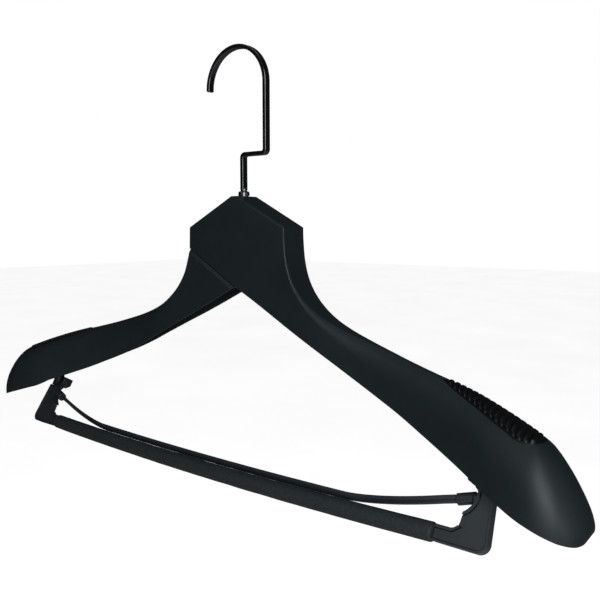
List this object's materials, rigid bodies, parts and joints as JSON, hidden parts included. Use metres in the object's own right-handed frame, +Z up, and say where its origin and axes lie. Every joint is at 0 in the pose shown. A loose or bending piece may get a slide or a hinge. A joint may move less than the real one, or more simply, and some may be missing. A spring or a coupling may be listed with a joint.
{
  "type": "suit hanger",
  "caption": "Wide-shoulder suit hanger with a swivel hook, ribbed shoulder pads and a padded trouser bar under a swinging clamp rod.",
  "frame": {"origin": "the rail seat: the point of the hook's inner face straight above its stem", "axes": "+X along the hanger towards its right arm as seen from the front, +Y towards its back, +Z up"},
  "size_m": [0.4564, 0.0576, 0.2688],
  "materials": {
    "soft_touch_plastic": "dark charcoal, soft-touch matt",
    "steel": "bright steel",
    "pad_rubber": "black rubber, satin",
    "black_plastic": "black moulded plastic, satin",
    "foam_sleeve": "charcoal foam, matt and mottled",
    "black_nickel": "black plated metal, glossy",
    "zinc": "zinc plated",
    "coated_rod": "black coated, satin"
  },
  "bodies": {
    "hook": {"hook": "black_nickel", "stem_washer": "zinc", "stem_nut": "zinc"},
    "hanger": {"right_arm": "soft_touch_plastic", "left_arm": "soft_touch_plastic", "head_screw_left": "steel", "head_screw_right": "steel", "swivel_ferrule": "steel", "shoulder_pad_right": "pad_rubber", "shoulder_pad_left": "pad_rubber", "bar_mount_right": "black_plastic", "bar_mount_left": "black_plastic", "mount_screw_right": "steel", "mount_screw_left": "steel", "bar_bracket_right": "black_plastic", "bar_bracket_left": "black_plastic", "bar_core": "steel", "bar_sleeve": "foam_sleeve"},
    "clamp": {"clamp_rod": "coated_rod", "clamp_cap_right": "coated_rod", "clamp_cap_left": "coated_rod", "pivot_pin_right": "steel", "pivot_pin_left": "steel"}
  },
  "joints": [
    {"name": "hook_swivel", "type": "hinge", "parent": "hook", "child": "hanger", "pos_m": [0, 0, -0.09942], "axis": [0, 0, 1], "continuous": true},
    {"name": "clamp_swing", "type": "hinge", "parent": "hanger", "child": "clamp", "pos_m": [0, -0.02774, -0.24063], "axis": [1, 0, 0], "range_deg": [-75, 75]}
  ]
}
